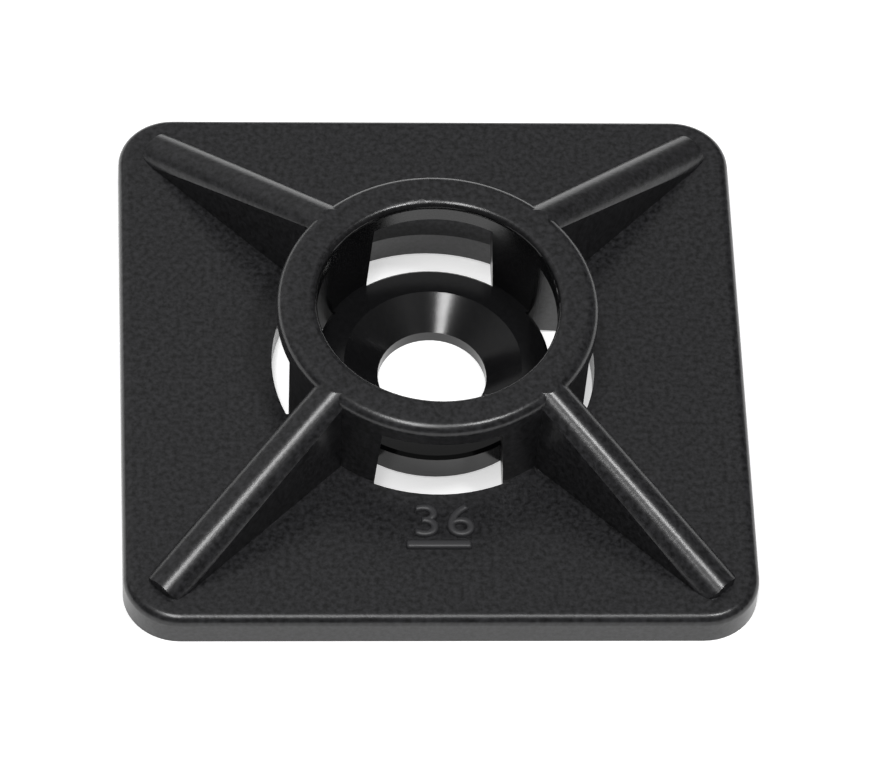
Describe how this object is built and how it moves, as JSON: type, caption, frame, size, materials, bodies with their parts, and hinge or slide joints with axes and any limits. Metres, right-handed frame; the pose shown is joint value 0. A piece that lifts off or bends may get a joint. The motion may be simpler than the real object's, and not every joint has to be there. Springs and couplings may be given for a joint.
{
  "type": "cable tie mount",
  "caption": "Square moulded mount that cable ties thread through in either direction, fixed by a screw or by adhesive under the base.",
  "frame": {"origin": "on the surface that the mount is fixed to, under the middle of the screw hole", "axes": "+Z away from that surface along the screw hole, +X and +Y square to the sides of the base"},
  "size_m": [0.028, 0.028, 0.0063],
  "materials": {
    "body": "satin moulded nylon"
  },
  "bodies": {
    "root": {"cable_tie_mount": "body"}
  },
  "joints": []
}
